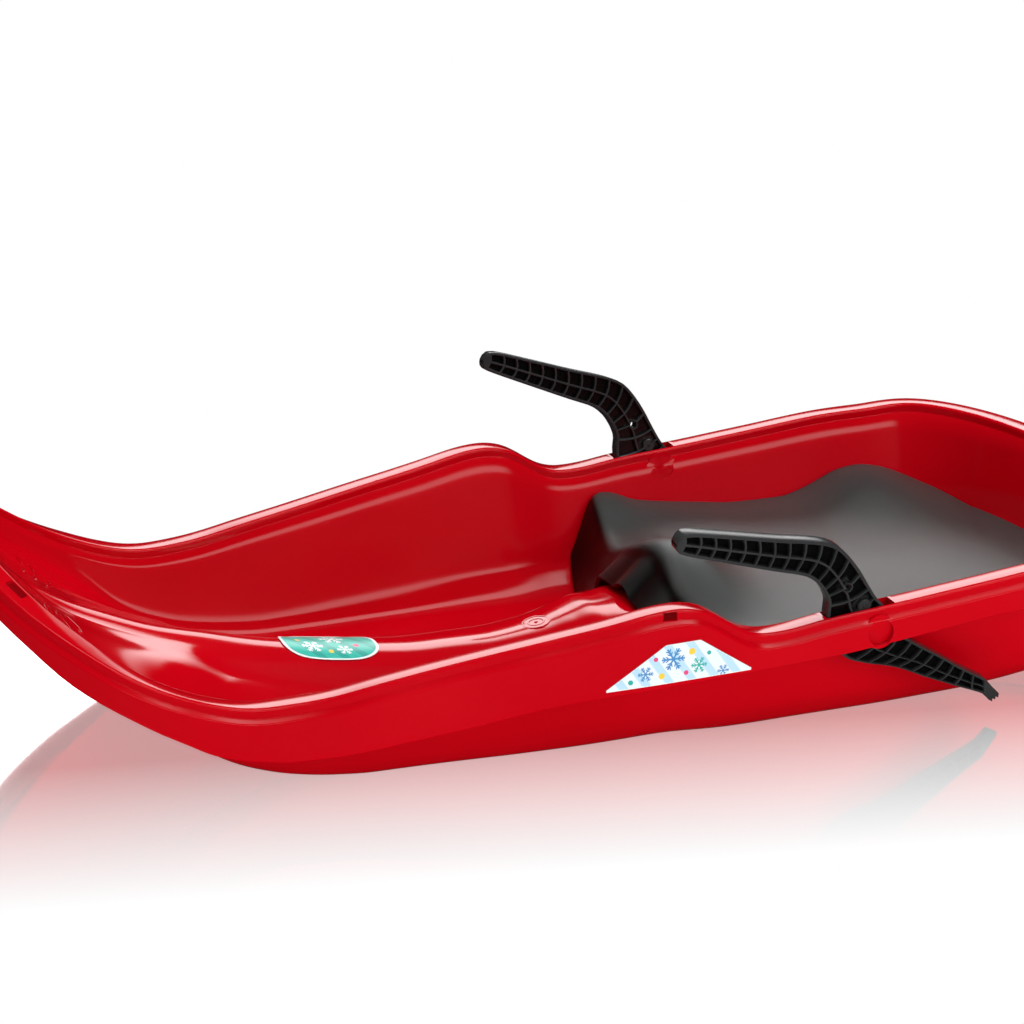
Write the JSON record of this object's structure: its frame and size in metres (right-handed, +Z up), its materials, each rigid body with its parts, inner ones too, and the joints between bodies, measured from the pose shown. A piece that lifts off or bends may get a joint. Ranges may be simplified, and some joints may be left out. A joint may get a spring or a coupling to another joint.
{
  "type": "bobsled",
  "caption": "Child's moulded plastic bobsled with footwells, raised nose, seat and a hinged brake lever on each side",
  "frame": {"origin": "middle of the sled's length and width, at the height of the ground that the flat belly rests on", "axes": "+X toward the tail, +Y the rider's right side, +Z up; the rider faces -X"},
  "size_m": [0.955, 0.4332, 0.201],
  "materials": {
    "hull_plastic": "glossy red moulded plastic",
    "seat_plastic": "fine-grained dark grey",
    "lever_plastic": "satin black",
    "pin_steel": "plain steel",
    "white_film": "printed film, mostly white",
    "teal_film": "printed film, mostly teal"
  },
  "bodies": {
    "sled": {"hull": "hull_plastic", "seat": "seat_plastic", "pivot_pin_left": "pin_steel", "pivot_pin_right": "pin_steel", "seat_clip_front_left": "lever_plastic", "seat_clip_rear_left": "lever_plastic", "seat_clip_front_right": "lever_plastic", "seat_clip_rear_right": "lever_plastic", "side_sticker_left": "white_film", "side_sticker_right": "white_film", "ridge_sticker": "teal_film"},
    "left_lever": {"brake_lever_left": "lever_plastic"},
    "right_lever": {"brake_lever_right": "lever_plastic"}
  },
  "joints": [
    {"name": "left_brake", "type": "hinge", "parent": "sled", "child": "left_lever", "pos_m": [0.1675, -0.19742, 0.08667], "axis": [0, 0.9903, 0.1392], "range_deg": [0, 30]},
    {"name": "right_brake", "type": "hinge", "parent": "sled", "child": "right_lever", "pos_m": [0.1675, 0.19742, 0.08667], "axis": [0, 0.9903, -0.1392], "range_deg": [-6.5, 23.5]}
  ]
}
